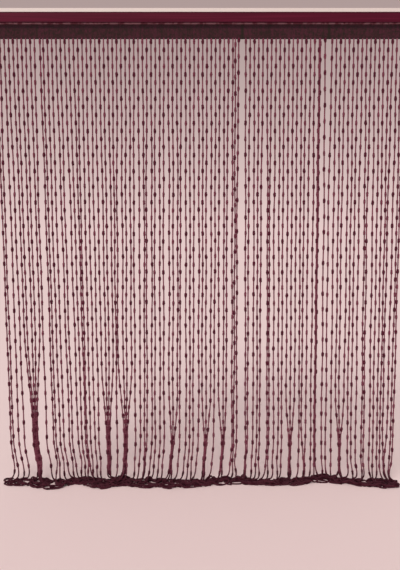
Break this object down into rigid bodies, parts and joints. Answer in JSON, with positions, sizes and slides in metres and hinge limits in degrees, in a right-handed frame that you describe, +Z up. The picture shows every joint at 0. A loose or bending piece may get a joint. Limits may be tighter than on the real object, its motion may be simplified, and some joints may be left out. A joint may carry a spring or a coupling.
{
  "type": "string curtain with ceiling rail",
  "caption": "Full-height curtain of slubbed strings that hang from a flat woven heading under a pale ceiling rail with a smooth fascia, and pile up in a low ridge on the floor.",
  "frame": {"origin": "the middle of the rail's flat top face, where the ceiling holds it", "axes": "+Z up towards the ceiling, +X to the viewer's right along the rail, +Y away from the viewer, through the curtain"},
  "size_m": [2.2, 0.1664, 2.566],
  "materials": {
    "rail_plastic": "plain extruded rail, off-white, satin",
    "fascia_satin": "smooth burgundy strip with a satin sheen and a raised lip along each edge",
    "woven_heading": "flat woven band in mottled plum and grey-brown yarns",
    "string_yarn": "soft plum yarn with dark burgundy and paler mauve slubs"
  },
  "bodies": {
    "root": {"rail": "rail_plastic", "fascia": "fascia_satin", "heading": "woven_heading", "fringe": "string_yarn"}
  },
  "joints": []
}
